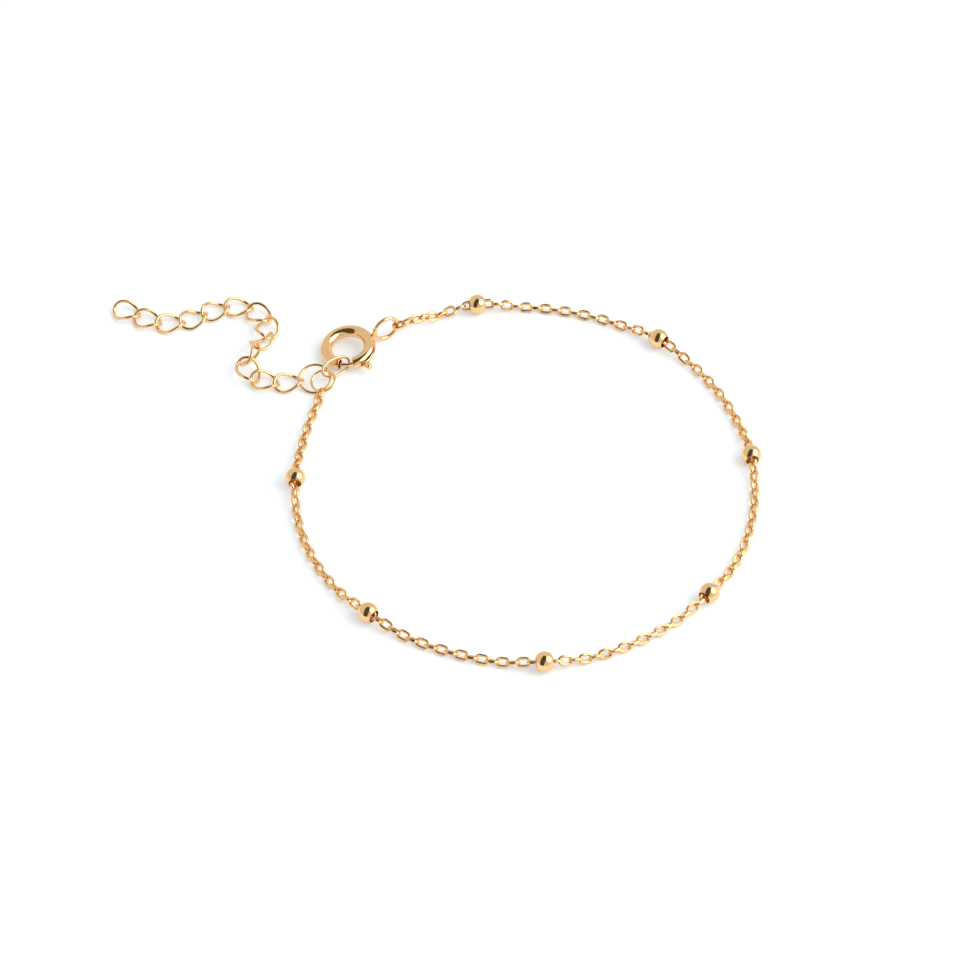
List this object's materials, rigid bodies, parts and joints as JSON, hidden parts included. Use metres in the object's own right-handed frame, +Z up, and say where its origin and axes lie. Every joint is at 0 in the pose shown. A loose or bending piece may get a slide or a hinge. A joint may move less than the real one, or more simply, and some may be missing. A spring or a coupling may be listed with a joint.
{
  "type": "beaded chain bracelet",
  "caption": "Gold-tone fine chain bracelet with spaced smooth beads, closed by a spring ring clasp, with a twisted-link extension tail.",
  "frame": {"origin": "centre of the bracelet's bounding box, on the surface it lies on", "axes": "+Z up from the surface, +X from the tail's free end towards the far side of the wrist loop, +Y towards the clasp's side of the loop"},
  "size_m": [0.0691, 0.0527, 0.0032],
  "materials": {
    "chain_gold": "polished",
    "bead_gold": "polished",
    "clasp_gold": "polished",
    "link_gold": "polished"
  },
  "bodies": {
    "bracelet": {"fine_chain": "chain_gold", "bead_1": "bead_gold", "bead_2": "bead_gold", "bead_3": "bead_gold", "bead_4": "bead_gold", "bead_5": "bead_gold", "bead_6": "bead_gold", "bead_7": "bead_gold", "clasp_body": "clasp_gold", "hook_link": "link_gold", "tail_ring": "link_gold", "chain_ring": "link_gold", "tail_link_01": "link_gold", "tail_link_02": "link_gold", "tail_link_03": "link_gold", "tail_link_04": "link_gold", "tail_link_05": "link_gold", "tail_link_06": "link_gold", "tail_link_07": "link_gold", "tail_link_08": "link_gold", "tail_link_09": "link_gold", "tail_link_10": "link_gold", "tail_link_11": "link_gold", "tail_link_12": "link_gold", "tail_link_13": "link_gold"},
    "trigger": {"clasp_trigger": "clasp_gold"}
  },
  "joints": [
    {"name": "trigger_pull", "type": "hinge", "parent": "bracelet", "child": "trigger", "pos_m": [-0.0089, 0.01846, 0.00102], "axis": [-0.1205, -0.0696, 0.9903], "range_deg": [0, 35], "stiffness_Nm_per_rad": 0.001, "springref_deg": -11.46}
  ]
}
